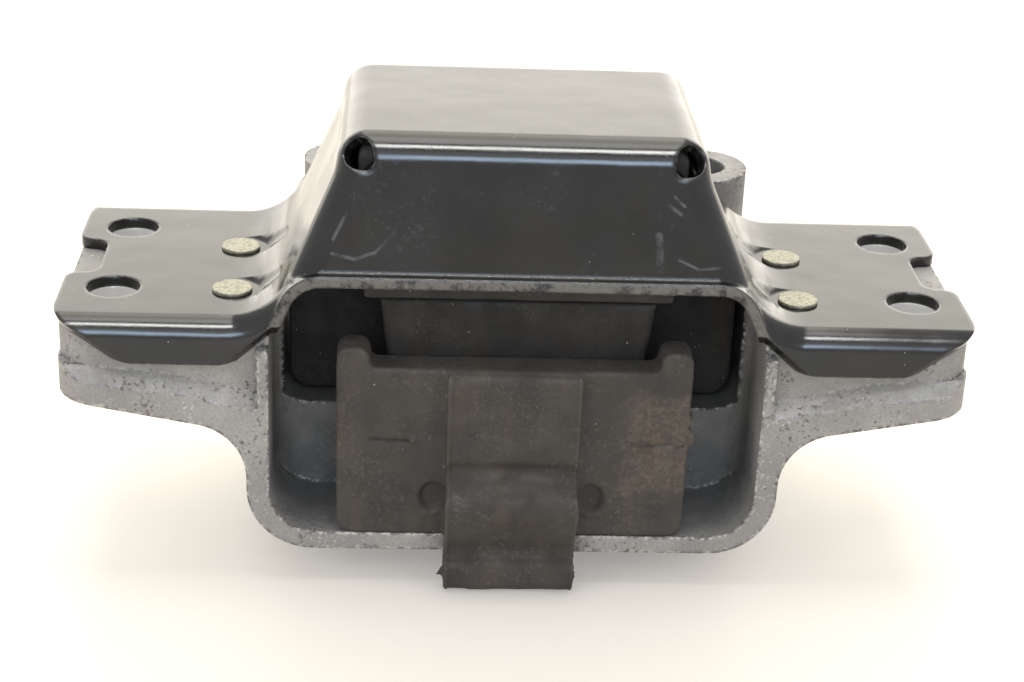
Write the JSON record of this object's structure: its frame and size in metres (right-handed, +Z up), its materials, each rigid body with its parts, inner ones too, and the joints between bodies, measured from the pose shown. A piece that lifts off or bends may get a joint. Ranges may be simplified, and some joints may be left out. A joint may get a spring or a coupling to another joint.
{
  "type": "engine mount",
  "caption": "Gearbox mount: pressed steel hat riveted over a cast tub, rubber spring and stops around a cast core with a two-boss arm.",
  "frame": {"origin": "centre of the body bolt pattern, on the top face of the cover's flanges", "axes": "+X along the length to the right seen from the open front, +Y to the rear where the arm leaves, +Z up through the hat"},
  "size_m": [0.186, 0.0983, 0.095],
  "materials": {
    "black_paint": "gloss black coating on pressed steel, dusty and chipped at the edges",
    "cast_alloy": "as-cast aluminium, grey, speckled with corrosion",
    "core_alloy": "as-cast aluminium, grey",
    "spring_rubber": "dark matte rubber",
    "buffer_rubber": "worn, dusty brown-grey rubber",
    "rivet_metal": "dull, grainy rivet heads"
  },
  "bodies": {
    "root": {"cover": "black_paint", "housing": "cast_alloy", "core": "core_alloy", "main_spring": "spring_rubber", "upper_stop": "spring_rubber", "front_buffer": "buffer_rubber", "rivet_left_front": "rivet_metal", "rivet_left_rear": "rivet_metal", "rivet_right_front": "rivet_metal", "rivet_right_rear": "rivet_metal"}
  },
  "joints": []
}
